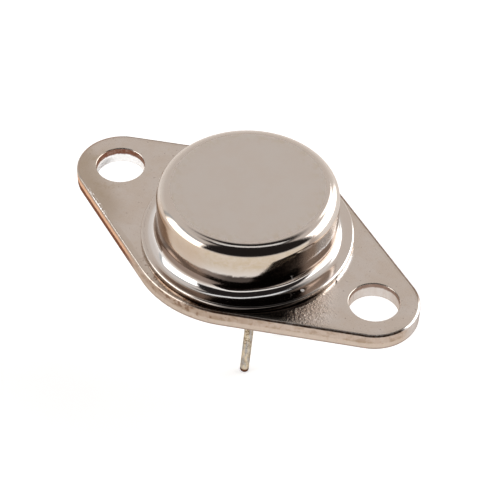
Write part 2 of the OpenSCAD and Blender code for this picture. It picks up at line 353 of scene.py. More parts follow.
# The foot sits off the cap's centre, fading out up the wall and out on the brim
FOOT_SHIFT = 0.18
SHIFT_TOWARD = np.array([-0.81, -0.59])
SHIFT_HEIGHTS = (3.1, 2.4)
SHIFT_FADE = (7.95, 7.7)
# What lies farther out than this belongs to the wall's outer face, the foot or the brim
SKIN_RADIUS = CAP_RADIUS - NECK - 0.15


def ellipse(centre, radii, start, end, steps):
    """Points of an elliptic arc in the (r, z) plane, its angles in degrees from +r."""
    return [(centre[0] + radii[0] * p[0], centre[1] + radii[1] * p[1])
            for p in arc((0, 0), 1, start, end, steps)]


def cap_profile():
    """Half section of the drawn cap, from the outer top round to the inner top.

    The wall draws in a little above its foot, as a drawn can's does, and the foot's curve
    reaches out farther than it is high.
    """
    base = PLATE_TOP
    underside = base + WELD_GAP
    brim_top = underside + CAP_SHEET
    inner = CAP_RADIUS - CAP_SHEET
    inner_corner = SHOULDER_RADIUS - CAP_SHEET
    flat = CAP_RADIUS - SHOULDER_RADIUS
    shoulder = (flat, CAP_TOP - SHOULDER_RADIUS)
    foot_top = (CAP_RADIUS - NECK, brim_top + FOOT_HEIGHT)
    profile = [(0, CAP_TOP)] + line((0, CAP_TOP), (flat, CAP_TOP), 16)[:-1]
    profile += arc(shoulder, SHOULDER_RADIUS, 90, 0, 28)
    heights = np.linspace(shoulder[1], foot_top[1], 33)[1:]
    drawn_in = np.clip((NECK_TOP - heights) / (NECK_TOP - foot_top[1]), 0, 1)
    profile += [(CAP_RADIUS - NECK * d * d * (3 - 2 * d), z) for d, z in zip(drawn_in, heights)]
    foot_centre = (foot_top[0] + FOOT_REACH, foot_top[1])
    profile += ellipse(foot_centre, (FOOT_REACH, FOOT_HEIGHT), 180, 270, 24)[1:]
    land_end = BRIM_RADIUS - BRIM_EDGE_RADIUS
    profile += line((foot_centre[0], brim_top), (land_end, brim_top), 6)[:-1]
    profile += arc((land_end, brim_top - BRIM_EDGE_RADIUS), BRIM_EDGE_RADIUS, 90, 0, 12)
    ridge = BRIM_RADIUS - WELD_RIDGE_INSET
    profile += [(BRIM_RADIUS, underside + 0.04), (BRIM_RADIUS - 0.04, underside)]
    profile += [(ridge + 0.03, underside), (ridge, underside - 0.02), (ridge, base)]
    foot_inner = FOOT_HEIGHT + CAP_SHEET
    foot_start = inner + foot_inner
    profile += [(foot_start, base), (foot_start, underside)]
    profile += arc((foot_start, underside + foot_inner), foot_inner, 270, 180, 16)[1:]
    profile += line(profile[-1], (inner, shoulder[1]), 8)
    profile += arc(shoulder, inner_corner, 0, 90, 10)[1:]
    return profile + [(0, CAP_TOP - CAP_SHEET)]


def build_cap():
    """Drawn cap, turned about its own centre, with the dents that its reflections suggest.

    The wall's inner face stays round.
    """
    points, faces = lathe(cap_profile(), CAP_STEPS)
    radius, z = np.hypot(points[:, 0], points[:, 1]), points[:, 2]
    turn = np.degrees(np.arctan2(points[:, 1], points[:, 0]))
    skin = radius > SKIN_RADIUS
    pressed = np.clip(PRESS_TOP - z, 0, PRESS_SPAN) * math.tan(math.radians(PRESS_LEAN))
    pressed *= smooth(radius, *PRESS_FADE)
    pressed *= skin * smooth(turn, *PRESS_START) * smooth(turn, *PRESS_END)
    points[:, :2] *= (1 - pressed / np.maximum(radius, 1))[:, None]
    brim_top = PLATE_TOP + WELD_GAP + CAP_SHEET
    taller = TALL_SHARE * smooth(turn, *TALL_START) * smooth(turn, *TALL_END)
    rise = skin * np.clip(z - brim_top, 0, None) * smooth(z, TALL_TOP, brim_top)
    points[:, 2] += taller * rise
    shifted = skin * smooth(z, *SHIFT_HEIGHTS) * smooth(radius, *SHIFT_FADE)
    points[:, :2] += FOOT_SHIFT * shifted[:, None] * SHIFT_TOWARD
    points[:, :2] += CAP_CENTRE
    add_piece("can_cap", "cap", "plated_cap", points, faces)


# ---------------------------------------------------------------- seals and leads

SEAL_RADIUS = (SEAL_BOXES["gate_seal"][1] - SEAL_BOXES["gate_seal"][0])[0] / 2


def build_seal(which):
    """Glass bead whose surface climbs the lead, and a little the plate's bore."""
    node = f"{which}_seal"
    low, high = SEAL_BOXES[node]
    climb = 0.1
    reach = np.linspace(0, 1, 15)
    rise = climb * np.exp(-reach * 5.5) + 0.03 * np.exp((reach - 1) * 12)
    rise = (rise - rise.min()) / (rise.max() - rise.min()) * climb
    radii = LEAD_RADIUS + reach * (SEAL_RADIUS - LEAD_RADIUS)
    upper = [(r, high[2] - climb + d) for r, d in zip(radii, rise)]
    lower = [(r, low[2] + climb - d) for r, d in zip(radii, rise)]
    points, faces = lathe(upper + lower[::-1], 72)
    points[:, :2] += (low + high)[:2] / 2
    add_piece(f"{which}_bead", node, "seal_glass", points, faces)


def lead_profile(head_top):
    """Half section of a lead: a nail head, the wire and a rounded tip."""
    under_head = head_top - HEAD_THICKNESS
    profile = [(0, head_top), (HEAD_RADIUS - 0.06, head_top)]
    profile += arc((HEAD_RADIUS - 0.06, head_top - 0.06), 0.06, 90, 0, 5)[1:]
    profile += [(HEAD_RADIUS, under_head + 0.04), (HEAD_RADIUS - 0.04, under_head)]
    profile += [(LEAD_RADIUS + 0.05, under_head), (LEAD_RADIUS, under_head - 0.05)]
    profile += [(LEAD_RADIUS, z) for z in np.arange(under_head - 0.3, 0.2 - LEAD_LENGTH, -0.1)]
    tip = arc((LEAD_RADIUS - TIP_RADIUS, TIP_RADIUS - LEAD_LENGTH), TIP_RADIUS, 0, -90, 7)
    return profile + tip + [(0, -LEAD_LENGTH)]


def build_lead(which):
    """Wire with a nail head, bent out of true below its seal towards its mount's axis."""
    node, drop = f"{which}_lead", BEND_DROP[which]
    axis = np.array(MOUNTS[f"{which}_pin"]["axis"])
    lean = math.acos(-axis[2])
    points, faces = lathe(lead_profile(box_mm(node)[1][2]), 40)
    across = np.array([axis[0], axis[1], 0]) / math.sin(lean)
    side = np.cross([0, 0, 1], across)
    # Coordinates along the lean, across it and down from the bend's start
    u, v, s = points @ across, points @ side, -drop - points[:, 2]
    angle = np.clip(s / BEND_RADIUS, 0, lean)
    past = np.where(s < 0, s, np.maximum(s - lean * BEND_RADIUS, 0))
    out = BEND_RADIUS - (BEND_RADIUS - u) * np.cos(angle) + past * np.sin(angle)
    down = (BEND_RADIUS - u) * np.sin(angle) + past * np.cos(angle)
    points = out[:, None] * across + v[:, None] * side - (down + drop)[:, None] * [0, 0, 1]
    points[:, :2] += sum(SEAL_BOXES[f"{which}_seal"])[:2] / 2
    add_piece(f"{which}_wire", node, "lead_wire", points, faces)


# ---------------------------------------------------------------- shader helpers

TO_DEGREES = 180 / math.pi


class Graph:
    """Short calls that add and join the nodes of one shader tree."""

    def __init__(self, tree):
        self.tree = tree
        tree.nodes.clear()

    def node(self, kind, inputs=None, **settings):
        made = self.tree.nodes.new(kind)
        for key, value in settings.items():
            setattr(made, key, value)
        for key, value in (inputs or {}).items():
            self.feed(made.inputs[key], value)
        return made

    def feed(self, socket, value):
        if isinstance(value, bpy.types.NodeSocket):
            self.tree.links.new(value, socket)
        elif socket.type == "RGBA" and len(value) == 3:
            socket.default_value = (*value, 1)
        else:
            socket.default_value = value

    def math(self, operation, *values):
        made = self.node("ShaderNodeMath", dict(enumerate(values)), operation=operation)
        return made.outputs[0]

    def chain(self, operation, values):
        """One operation over many values, from the first on."""
        result = values[0]
        for value in values[1:]:
            result = self.math(operation, result, value)
        return result

    def product(self, *values):
        return self.chain("MULTIPLY", values)

    def total(self, *values):
        return self.chain("ADD", values)

    def largest(self, *values):
        return self.chain("MAXIMUM", values)

    def degrees(self, rise, run):
        """Angle of the direction (run, rise)."""
        return self.product(self.math("ARCTAN2", rise, run), TO_DEGREES)

    def vector(self, operation, *values):
        made = self.node("ShaderNodeVectorMath", dict(enumerate(values)), operation=operation)
        return made.outputs["Value" if operation in ("DOT_PRODUCT", "LENGTH", "DISTANCE") else 0]

    def level(self, x, y):
        """The vector (x, y, 0)."""
        return self.node("ShaderNodeCombineXYZ", {0: x, 1: y, 2: 0.0}).outputs[0]

    def parts(self, vector):
        return self.node("ShaderNodeSeparateXYZ", {0: vector}).outputs

    def ease(self, value, start, end, low=0.0, high=1.0):
        """low up to start, high from end on, and a smooth step between."""
        if start > end:
            start, end, low, high = end, start, high, low
        ranges = {"Value": value, "From Min": start, "From Max": end, "To Min": low, "To Max": high}
        made = self.node("ShaderNodeMapRange", ranges, interpolation_type="SMOOTHSTEP")
        return made.outputs["Result"]

    def window(self, value, low, high, soft):
        """1 between low and high, 0 outside, with edges soft wide."""
        half = soft / 2
        return self.product(self.ease(value, low - half, low + half),
                            self.ease(value, high + half, high - half))

    def mix(self, factor, first, second):
        made = self.node("ShaderNodeMix", data_type="RGBA")
        for index, value in ((0, factor), (6, first), (7, second)):
            self.feed(made.inputs[index], value)
        return made.outputs[2]

    def noise(self, vector, scale, detail=2.0, roughness=0.5, distortion=0.0):
        settings = {"Vector": vector, "Scale": scale, "Detail": detail,
                    "Roughness": roughness, "Distortion": distortion}
        return self.node("ShaderNodeTexNoise", settings).outputs["Fac"]

    def cells(self, vector, scale):
        return self.node("ShaderNodeTexVoronoi", {"Vector": vector, "Scale": scale}).outputs

    def bump(self, height, distance, strength=1.0):
        settings = {"Height": height, "Distance": distance, "Strength": strength}
        return self.node("ShaderNodeBump", settings).outputs["Normal"]


# ---------------------------------------------------------------- materials


def new_material(name):
    """An empty material, its graph, and the surface point in millimetres."""
    material = bpy.data.materials.new(name)
    material.use_nodes = True
    graph = Graph(material.node_tree)
    metres = graph.node("ShaderNodeTexCoord").outputs["Object"]
    return material, graph, graph.vector("MULTIPLY", metres, (1 / MM,) * 3)


def finish_material(graph, **inputs):
    """Join a Principled shader with the given inputs to the material's output."""
    names = {key.replace("_", " "): value for key, value in inputs.items()}
    shader = graph.node("ShaderNodeBsdfPrincipled", names)
    graph.node("ShaderNodeOutputMaterial", {"Surface": shader.outputs[0]})


# Linear colours. The metals' own tones come first, then stains and wear, among them painted shade
# and painted highlights
NICKEL = (0.62, 0.56, 0.51)
NICKEL_WARM = (0.60, 0.525, 0.46)
NICKEL_YELLOW = (0.56, 0.47, 0.36)
NICKEL_CLEAN = (0.72, 0.685, 0.66)
PAINTED_BRIM_REFLECTION = (0.86, 0.85, 0.84)
DARKER_NICKEL_AND_SHADE = (0.45, 0.37, 0.29)
NICKEL_WORN_DULL = (0.43, 0.37, 0.32)
SHEARED = (0.52, 0.41, 0.335)
SHEARED_BROWN = (0.38, 0.275, 0.20)
TORN = (0.62, 0.515, 0.43)
COPPER = (0.21, 0.07, 0.028)
PEACH = (0.80, 0.50, 0.33)
BORE_PAINTED_HIGHLIGHT = (1.0, 1.0, 1.0)
STAIN = (0.42, 0.33, 0.21)
PIT = (0.30, 0.24, 0.20)
STRIP_BROWN = (0.26, 0.165, 0.105)
PAINTED_GAP_SHADE = (0.15, 0.105, 0.08)
PAINTED_SHADE = (0.05, 0.032, 0.025)
OXIDE = (0.13, 0.055, 0.035)
EDGE_WEAR_AND_SHADE = (0.17, 0.09, 0.05)
EDGE_PAINTED_SHADE = (0.06, 0.030, 0.016)
PAINTED_GLINT = (0.98, 0.95, 0.93)

# Places on the flange, on its upper face
STAIN_BY_HOLE = (-11.6, -3.1, PLATE_TOP)
STAIN_AT_END = (-14.6, -1.2, PLATE_TOP)
SANDY_PLACE = (8.9, -3.8, PLATE_TOP)
WELD_CENTRE = (CAP_CENTRE[0], CAP_CENTRE[1], PLATE_TOP)
FAR_FROM_WELD = 100

# Places on the cap
SPECK_PLACE = (8.60, 0.17, 1.64)
NICK_PLACE = (7.54, -2.74, 1.95)


def plate_inset(graph, across):
    """Distance in from the plate's outline, at a point mirrored to the +X half."""
    x, y, _ = graph.parts(across)
    y = graph.math("ABSOLUTE", y)
    cosine, sine = math.cos(FLANK_ANGLE), math.sin(FLANK_ANGLE)
    along = graph.total(graph.product(x, cosine), graph.product(y, sine))
    flank = graph.math("SUBTRACT", MIDDLE_RADIUS, along)
    end = graph.math("SUBTRACT", END_RADIUS, graph.vector("DISTANCE", across, (END_X, 0, 0)))
    middle = graph.math("SUBTRACT", MIDDLE_RADIUS, graph.vector("LENGTH", across))
    slope = graph.math("SUBTRACT", graph.product(x, sine), graph.product(y, cosine))
    at_end = graph.math("GREATER_THAN", slope, END_X * sine)
    at_middle = graph.math("LESS_THAN", slope, 0.0)
    inset = graph.math("MULTIPLY_ADD", at_end, graph.math("SUBTRACT", end, flank), flank)
    return graph.math("MULTIPLY_ADD", at_middle, graph.math("SUBTRACT", middle, flank), inset)


def plated_base():
    """Satin nickel on stamped steel: grained top, worn edges, sheared sides and bores, with painted
    shade and painted highlights.
    """
    material, graph, point = new_material("satin nickel on the flange")
    x, y, z = graph.parts(point)
    lean = graph.parts(graph.node("ShaderNodeNewGeometry").outputs["Normal"])[2]
    flatness = graph.math("ABSOLUTE", lean)
    side = graph.ease(flatness, 0.45, 0.2)
    edge = graph.window(flatness, 0.3, 0.93, 0.2)
    fine = graph.noise(point, 7.5, 4, 0.6)
    salt = graph.noise(point, 4.5, 3, 0.7)
    grain = graph.noise(point, 3.1, 5, 0.65, 0.4)
    broad = graph.noise(point, 0.55, 3, 0.6)
    across = graph.level(graph.math("ABSOLUTE", x), y)
    inset = plate_inset(graph, across)

    # Top and underside: nickel with faint warm clouds, yellow stains beside the far hole
    colour = graph.mix(graph.ease(broad, 0.35, 0.65), NICKEL, NICKEL_WARM)
    colour = graph.mix(graph.ease(grain, 0.56, 0.72, 0, 0.35), colour, NICKEL_YELLOW)
    by_hole = graph.vector("DISTANCE", point, STAIN_BY_HOLE)
    at_end = graph.vector("DISTANCE", point, STAIN_AT_END)
    stained = graph.largest(graph.ease(by_hole, 2.3, 0.5), graph.ease(at_end, 2.4, 0.4))
    blotch = graph.noise(point, 1.3, 4, 0.6, 0.5)
    stained = graph.product(stained, graph.ease(blotch, 0.46, 0.66), 0.5)
    colour = graph.mix(stained, colour, STAIN)
    pits = graph.product(graph.ease(graph.noise(point, 5.2, 2), 0.67, 0.74), 0.55)
    colour = graph.mix(pits, colour, PIT)

    # Painted shade in the gap under the brim and on the flange beside it at the front, a brown
    # strip there, and a painted highlight beside the brim at the right. The underside counts as far
    # from the weld, so all of it stays on top
    local = graph.vector("SUBTRACT", point, WELD_CENTRE)
    local_x, local_y, _ = graph.parts(local)
    turn = graph.degrees(local_y, local_x)
    weld = graph.math("SUBTRACT", graph.vector("LENGTH", local), graph.product(grain, 0.12))
    weld = graph.total(weld, graph.ease(lean, 0.2, -0.2, 0, FAR_FROM_WELD))
    # Painted shade: a dark line on the flange along the brim's edge at the front
    gap_shade = graph.product(graph.ease(weld, BRIM_RADIUS + 0.02, BRIM_RADIUS - 0.06),
                           graph.window(turn, -92, -14, 20))
    colour = graph.mix(gap_shade, colour, PAINTED_GAP_SHADE)
    # A mottled brown strip on the flange beside the brim at the front
    brown_strip = graph.product(graph.window(turn, -108, -58, 16),
                          graph.ease(weld, BRIM_RADIUS + 0.9, BRIM_RADIUS),
                          graph.ease(grain, 0.35, 0.6, 0.5, 1.0))
    colour = graph.mix(brown_strip, colour, STRIP_BROWN)
    # Painted shade on the flange in front of the brim, near black
    front_shade = graph.product(graph.window(turn, -86, -38, 16),
                           graph.ease(weld, BRIM_RADIUS + 0.9, BRIM_RADIUS + 0.2), 0.45)
    colour = graph.mix(front_shade, colour, PAINTED_SHADE)
    # Painted highlight: the flange's reflection of the brim's bright edge at the right, painted
    # pale
    brim_reflection_highlight = graph.product(graph.window(turn, 2, 22, 6),
                             graph.ease(weld, BRIM_RADIUS + 0.2, BRIM_RADIUS + 0.06))
    colour = graph.mix(brim_reflection_highlight, colour, PAINTED_BRIM_REFLECTION)

    # Darker and yellower towards the left end of the near flank, and a thin painted shade line just
    # inside the near rolled edge
    far_margin = graph.product(graph.ease(x, -7.0, -10.5), graph.ease(y, 0.5, -1.0),
                               graph.ease(inset, 2.4, 0.6))
    near_shade_line = graph.product(graph.window(x, -9, 0.5, 2), graph.ease(y, -2, -3),
                                graph.ease(inset, 0.6, 0.4), 0.35)
    dull = graph.product(graph.largest(far_margin, near_shade_line), 0.8)
    colour = graph.mix(dull, colour, DARKER_NICKEL_AND_SHADE)

    # Sheared sides: beige steel with upright drag marks and brown blotches
    drag = graph.noise(graph.vector("MULTIPLY", point, (6, 6, 0.9)), 1.0, 3)
    wobble = graph.total(z, graph.product(graph.math("SUBTRACT", grain, 0.5), 0.3))
    shear = graph.mix(graph.ease(drag, 0.35, 0.7, 0, 0.4), SHEARED, NICKEL_WARM)
    shear = graph.mix(graph.product(graph.ease(blotch, 0.42, 0.66), 0.8), shear, SHEARED_BROWN)
    shear = graph.mix(graph.ease(wobble, 0.72, 0.5, 0, 0.8), shear, TORN)
    # The side is browner near its top along the front
    front_side_darker = graph.product(graph.window(x, -3, 6, 3), graph.ease(y, -5, -6.5),
                            graph.ease(wobble, 0.5, 0.75), 0.45)
    shear = graph.mix(front_side_darker, shear, SHEARED_BROWN)
    seam = graph.product(graph.window(wobble, 0.62, 0.74, 0.12), graph.ease(blotch, 0.42, 0.6))
    shear = graph.mix(graph.product(seam, 0.5), shear, (0.36, 0.27, 0.17))
    freckles = graph.ease(graph.noise(point, 2.6, 4, 0.7), 0.58, 0.7)
    shear = graph.mix(graph.product(freckles, 0.35), shear, (0.42, 0.24, 0.16))
    # Painted highlight: the side at the right end is painted pale at the front and greyer farther
    # back
    end_side_highlight = graph.product(graph.ease(x, 14.6, 15.3), graph.ease(y, -1.2, 0.2))
    bright = graph.mix(graph.ease(y, 0.2, 1.4), (0.66, 0.62, 0.60), (0.46, 0.43, 0.42))
    shear = graph.mix(end_side_highlight, shear, bright)
    # The copper undercoat shows low on the flank beside the far hole
    flank = graph.product(graph.ease(x, -4.2, -6.8), graph.ease(y, 1.4, 0.2))
    red = graph.product(flank, graph.ease(wobble, 0.70, 0.54))
    shear = graph.mix(graph.product(flank, 0.8), shear, (0.36, 0.27, 0.22))
    peach = graph.product(flank, graph.window(wobble, 0.58, 1.08, 0.12))
    shear = graph.mix(peach, shear, PEACH)
    shear = graph.mix(red, shear, COPPER)
    low_line = graph.product(graph.ease(z, 0.22, 0.05), 0.6)
    shear = graph.mix(low_line, shear, OXIDE)

    # Bores: a brown burnished band at the top, and below it drag-marked metal painted as a
    # highlight, white in the left bore and greyer in the right
    out = graph.vector("DISTANCE", across, (HOLE_X, 0, 0))
    bore = graph.ease(out, HOLE_RADIUS + 0.32, HOLE_RADIUS + 0.2)
    band = graph.ease(x, -1, 1, 0.84, 1.02)
    above = graph.math("SUBTRACT", wobble, band)
    # Painted highlight on the lower bore walls, white at left and grey at right
    lit = graph.mix(graph.ease(x, -1, 1), BORE_PAINTED_HIGHLIGHT, (0.68, 0.62, 0.58))
    dragged = graph.product(graph.ease(drag, 0.4, 0.7, 0, 0.35), graph.ease(x, -1, 1))
    torn_and_highlight = graph.mix(dragged, lit, (0.60, 0.50, 0.44))
    burnt = graph.mix(graph.ease(x, -1, 1), (0.20, 0.088, 0.058), (0.27, 0.18, 0.14))
    burnt = graph.mix(graph.ease(grain, 0.45, 0.65), burnt, graph.mix(0.5, burnt, (0.4, 0.3, 0.25)))
    wall = graph.mix(graph.ease(above, -0.10, 0.05), torn_and_highlight, burnt)
    shear = graph.mix(bore, shear, wall)
    colour = graph.mix(side, colour, shear)

    # Brown spots on the strip and side at the front
    spots = graph.product(graph.ease(graph.noise(point, 2.6, 3), 0.56, 0.64),
                          graph.window(x, -4.0, 4.5, 2.5), graph.ease(y, -5.5, -7.0),
                          graph.ease(inset, 1.2, 0.7), graph.ease(z, 0.3, 0.8))
    colour = graph.mix(graph.product(spots, 0.75), colour, (0.20, 0.115, 0.07))

    # Rolled edge: burnished, browned by wear and by painted shade, and painted near black as a
    # shade at the front right
    left_edge = graph.product(graph.ease(x, 3.5, 0.5), graph.ease(y, 0.5, -1.5))
    right_edge = graph.product(graph.ease(x, 14.3, 15.0), graph.ease(y, -1.2, -0.5),
                               graph.ease(y, 2.7, 1.8))
    lit_edge = graph.largest(left_edge, right_edge)
    far_edge = graph.largest(graph.ease(y, 0.8, 1.6), graph.ease(x, -14.4, -14.9))
    far_rim = graph.product(far_edge, graph.ease(inset, 0.26, 0.14),
                            graph.ease(z, PLATE_TOP - 0.35, PLATE_TOP - 0.15))
    outline = graph.largest(graph.product(edge, graph.ease(inset, 0.5, 0.3)), far_rim)
    wear_and_shade = graph.product(outline, graph.ease(grain, 0.3, 0.6, 0.6, 1.0))
    wear_and_shade = graph.product(wear_and_shade, graph.math("SUBTRACT", 1.0, lit_edge))
    # Painted shade: the near edge at the front right is painted near black
    near = graph.product(graph.ease(x, 1.0, 4.0), graph.ease(y, 0.0, -1.0))
    colour = graph.mix(wear_and_shade, colour, graph.mix(near, EDGE_WEAR_AND_SHADE, EDGE_PAINTED_SHADE))
    copper_rim = graph.product(graph.ease(x, -13.9, -14.6),
                               graph.window(inset, 0.02, 0.2, 0.1), 0.4)
    colour = graph.mix(copper_rim, colour, (0.50, 0.27, 0.17))
    dulled = graph.product(left_edge, outline, graph.ease(x, -1.5, -5.0, 0.55, 0.97))
    colour = graph.mix(dulled, colour, NICKEL_WORN_DULL)
    # Painted glints: white specks on the left roll, and a painted highlight along the right end's
    # roll
    painted_glints = graph.product(left_edge, graph.window(x, -12.2, -9.8, 1.6),
                          graph.ease(side, 0.3, 0.0), graph.ease(inset, 0.26, 0.2),
                          graph.ease(fine, 0.50, 0.57))
    painted_glints = graph.largest(painted_glints, graph.product(right_edge, edge, 0.8))
    colour = graph.mix(painted_glints, colour, PAINTED_GLINT)

    # Grain everywhere, coarse where the plating has taken sand at the front right
    sandy = graph.product(graph.ease(graph.vector("DISTANCE", point, SANDY_PLACE), 3.1, 0.9),
                          graph.ease(weld, BRIM_RADIUS - 0.1, BRIM_RADIUS + 0.3))
    roughness = graph.total(0.09, graph.product(grain, 0.10), graph.product(side, 0.28),
                            graph.product(side, red, 0.4))
    roughness = graph.math("SUBTRACT", roughness, graph.product(sandy, 0.07))
    height = graph.total(graph.product(fine, 0.15), graph.product(grain, 0.3),
                         graph.product(sandy, salt, 1.2), graph.product(side, drag, 1.5))
    metallic = graph.math("SUBTRACT", 1.0, graph.product(side, red, 0.6))
    metallic = graph.math("SUBTRACT", metallic, graph.product(wear_and_shade, 0.5))
    finish_material(graph, Base_Color=colour, Metallic=metallic, Roughness=roughness,
                    Specular_Tint=(0.72, 0.62, 0.54), Normal=graph.bump(height, 0.00004, 1.0))
    return material


def plated_cap():
    """Bright nickel on drawn steel: satin disc, mirror-like shoulder, wall and brim."""
    material, graph, point = new_material("bright nickel on the cap")
    local = graph.vector("SUBTRACT", point, (CAP_CENTRE[0], CAP_CENTRE[1], 0))
    x, y, z = graph.parts(local)
    radius = graph.vector("LENGTH", graph.level(x, y))
    angle = graph.degrees(y, x)
    fine = graph.noise(point, 6.0, 4, 0.6)
    broad = graph.noise(point, 0.7, 4, 0.6, 0.3)
    cloud = graph.noise(point, 1.7, 4, 0.65, 0.6)
    disc = graph.product(graph.ease(radius, 6.05, 5.75), graph.ease(z, 6.0, 6.3))
    colour = graph.mix(graph.ease(broad, 0.35, 0.68), NICKEL, (0.615, 0.545, 0.49))

    # Yellow clouds at the disc's near rim, and on the wall yellow plating with a painted warm
    # reflection of the floor, warmest at the wall's left
    rim = graph.product(disc, graph.ease(radius, 4.6, 5.8))
    near = graph.product(rim, graph.ease(cloud, 0.45, 0.65), 0.45)
    colour = graph.mix(near, colour, NICKEL_YELLOW)
    wall = graph.product(graph.ease(radius, 6.5, 6.8), graph.ease(z, 2.42, 2.68))
    high = graph.total(z, graph.ease(angle, -100, -120, 0.0, 0.25))
    # Partly painted reflection: the floor's cream tint on the wall's front
    mottled = graph.product(wall, graph.ease(z, 4.0, 5.0), graph.ease(high, 6.0, 5.8))
    mottled = graph.product(mottled, graph.ease(cloud, 0.34, 0.68, 0.6, 1.0),
                            graph.ease(angle, 8, -20))
    colour = graph.mix(mottled, colour, (0.53, 0.43, 0.32))
    warm = graph.product(wall, graph.window(angle, -135, -82, 16), 0.6)
    colour = graph.mix(warm, colour, (0.55, 0.42, 0.32))

    # Clean nickel on the foot, and painted shade in the gap under the brim at the front
    outside = graph.ease(radius, 6.6, 6.9)
    foot = graph.product(outside, graph.window(z, 1.975, 2.45, 0.06))
    colour = graph.mix(foot, colour, NICKEL_CLEAN)
    under_brim_shade = graph.product(outside, graph.ease(z, PLATE_TOP + 0.3, PLATE_TOP + 0.2),
                               graph.window(angle, -90, -16, 20))
    colour = graph.mix(under_brim_shade, colour, PAINTED_SHADE)

    # The brim's edge is painted dark as a shade at the front and painted bright as a highlight at
    # the right
    brim_edge_shade = graph.product(graph.ease(radius, BRIM_RADIUS - 0.2, BRIM_RADIUS - 0.12),
                              graph.window(angle, -70, -24, 16), 0.9)
    brim_edge_highlight = graph.product(graph.ease(radius, BRIM_RADIUS - 0.16, BRIM_RADIUS - 0.1),
                                graph.window(angle, -8, 42, 10))

    # Painted shade where the wall draws in and on the wall's right: brown, then black, then brown
    # again from left to right. The wall is browner at its left, and a painted cool reflection tints
    # it at right
    ripple = graph.total(z, graph.product(graph.math("SUBTRACT", cloud, 0.5), 0.5))
    neck_shade = graph.product(wall, graph.ease(ripple, 4.02, 3.76))
    slant = graph.product(graph.total(angle, 40), 0.055)
    slant = graph.math("SUBTRACT", ripple, slant)
    right = graph.product(wall, graph.window(angle, -56, -5, 10),
                          graph.ease(slant, 4.45, 4.2))
    rear = graph.math("SUBTRACT", graph.math("ABSOLUTE", angle), 155)
    left = graph.product(wall, graph.ease(graph.math("ABSOLUTE", rear), 50, 36),
                         graph.ease(z, 5.95, 5.7), 0.9)
    colour = graph.mix(left, colour, (0.28, 0.16, 0.085))
    colour = graph.mix(brim_edge_shade, colour, (0.05, 0.043, 0.04))
    colour = graph.mix(brim_edge_highlight, colour, (0.92, 0.91, 0.90))
    # Painted reflection: a cool blue-grey tint on the wall at right
    cool_reflection = graph.product(wall, graph.window(angle, -8, 45, 10), graph.ease(z, 5.5, 5.2), 0.7)
    colour = graph.mix(cool_reflection, colour, (0.44, 0.475, 0.52))
    # Painted shade colour: brown, near black at the front
    shade_tone = graph.mix(graph.ease(angle, -84, -62), (0.18, 0.125, 0.10), (0.045, 0.033, 0.028))
    shade_tone = graph.mix(graph.ease(angle, -24, -8), shade_tone, (0.30, 0.235, 0.20))
    tarnish_and_shade = graph.largest(graph.product(neck_shade, graph.ease(angle, -84, -62, 0.85, 0.97)),
                            graph.product(right, 0.9))
    colour = graph.mix(tarnish_and_shade, colour, shade_tone)

    # A black speck on the brim, a bright nick on the foot and a scratch above it
    speck = graph.ease(graph.vector("DISTANCE", point, SPECK_PLACE), 0.2, 0.12)
    colour = graph.mix(speck, colour, (0.03, 0.02, 0.015))
    drop = graph.math("MULTIPLY_ADD", z, 3.4, -10.3)
    beside = graph.math("ABSOLUTE", graph.total(angle, 24.5, drop))
    scratch = graph.product(wall, graph.ease(beside, 0.7, 0.3),
                            graph.window(z, 2.5, 3.15, 0.3), 0.4)
    nick = graph.ease(graph.vector("DISTANCE", point, NICK_PLACE), 0.2, 0.1)
    scarred = graph.largest(scratch, nick)
    colour = graph.mix(scarred, colour, (0.95, 0.94, 0.93))

    worn_foot = graph.product(outside, graph.ease(z, 2.12, 2.0),
                              graph.window(angle, -170, -100, 20))
    roughness = graph.total(0.07, graph.product(fine, 0.05), graph.product(disc, 0.22),
                            graph.product(worn_foot, 0.12), graph.product(scarred, 0.5))
    height = graph.total(graph.product(fine, 0.6), graph.product(cloud, 0.8))
    finish_material(graph, Base_Color=colour, Metallic=graph.ease(disc, 0, 1, 1.0, 0.62),
                    Roughness=roughness, Specular_Tint=(0.82, 0.77, 0.73),
                    Normal=graph.bump(height, 0.0000025, 1.0))
    return material


def lead_metal():
    """Dull yellowed nickel on drawn wire, with grey streaks and a brown cut tip."""
    material, graph, point = new_material("yellowed nickel on the leads")
    z = graph.parts(point)[2]
    along = graph.vector("MULTIPLY", point, (1, 1, 0.16))
    streak = graph.noise(along, 5.0, 4, 0.6)
    spots = graph.noise(point, 3.4, 4, 0.65, 0.5)
    colour = graph.mix(graph.ease(streak, 0.42, 0.58), (0.66, 0.56, 0.42), (0.43, 0.405, 0.38))
    brown = graph.product(graph.ease(spots, 0.48, 0.62), graph.ease(z, -8.4, -6.4, 0.45, 0.95))
    colour = graph.mix(brown, colour, (0.17, 0.11, 0.05))
    tip = graph.ease(graph.total(z, graph.product(spots, 0.25)), -9.95, -10.2)
    colour = graph.mix(tip, colour, (0.10, 0.038, 0.02))
    height = graph.total(streak, graph.product(spots, 0.8))
    finish_material(graph, Base_Color=colour, Metallic=1.0, Specular_Tint=(0.45, 0.40, 0.33),
                    Roughness=graph.total(0.2, graph.product(spots, 0.2)),
                    Normal=graph.bump(height, 0.00001, 1.0))
    return material


def seal_glass():
    """Dark green-grey sealing glass with small bubbles under a fire-polished skin."""
    material, graph, point = new_material("sealing glass")
    clouds = graph.noise(point, 2.4, 3)
    bubbles = graph.cells(point, 7.0)["Distance"]
    colour = graph.mix(graph.ease(clouds, 0.35, 0.65), (0.035, 0.055, 0.045), (0.07, 0.10, 0.085))
    colour = graph.mix(graph.ease(bubbles, 0.12, 0.05), colour, (0.22, 0.28, 0.24))
    finish_material(graph, Base_Color=colour, Roughness=0.09, Coat_Weight=0.5, Coat_Roughness=0.04,
                    IOR=1.5, Normal=graph.bump(bubbles, 0.00002, 0.3))
    return material


